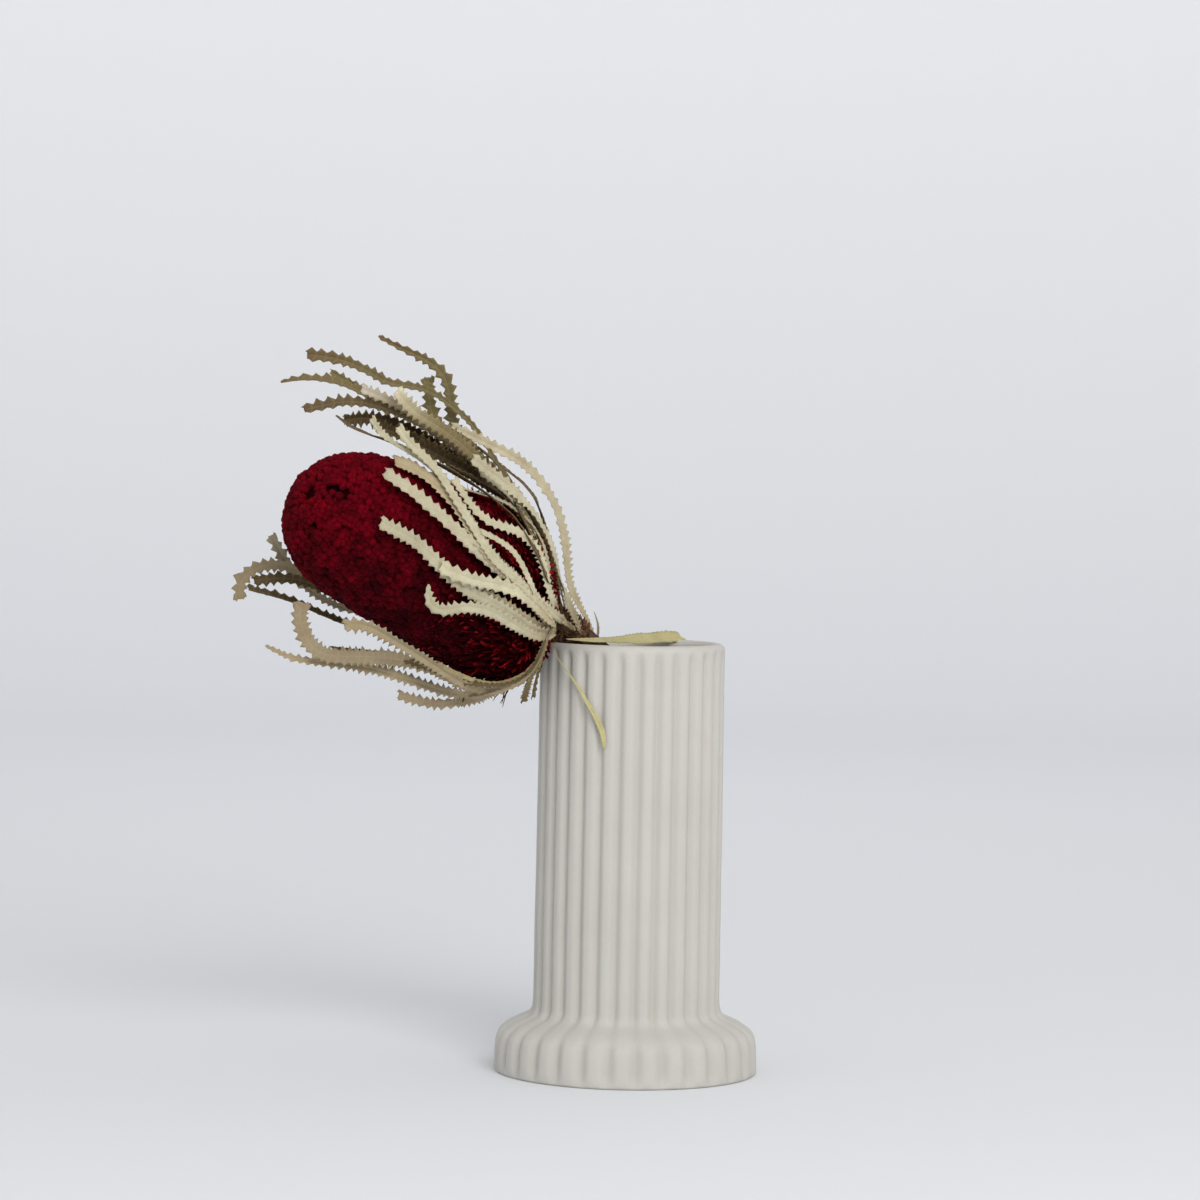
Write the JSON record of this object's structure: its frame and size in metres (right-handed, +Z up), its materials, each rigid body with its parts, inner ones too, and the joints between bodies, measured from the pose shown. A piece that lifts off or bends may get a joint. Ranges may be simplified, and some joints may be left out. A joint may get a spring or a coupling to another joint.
{
  "type": "dried flower in a vase",
  "caption": "Dried crimson banksia flower spike with long saw-toothed leaves, leaning over the lip of a fluted off-white ceramic vase with a wide foot.",
  "frame": {"origin": "centre of the vase's underside, on the surface that it stands on", "axes": "+Z up, +X to the right and -Y towards somebody who looks at the front; the flower leans towards -X"},
  "size_m": [0.2456, 0.1523, 0.3409],
  "materials": {
    "ceramic": "matte",
    "florets": "matte",
    "dried_leaf": "matte",
    "yellow_leaf": "matte"
  },
  "bodies": {
    "root": {"vase": "ceramic", "flower_head": "florets", "leafy_stem": "dried_leaf", "yellow_leaf_across": "yellow_leaf", "yellow_leaf_hanging": "yellow_leaf"}
  },
  "joints": []
}
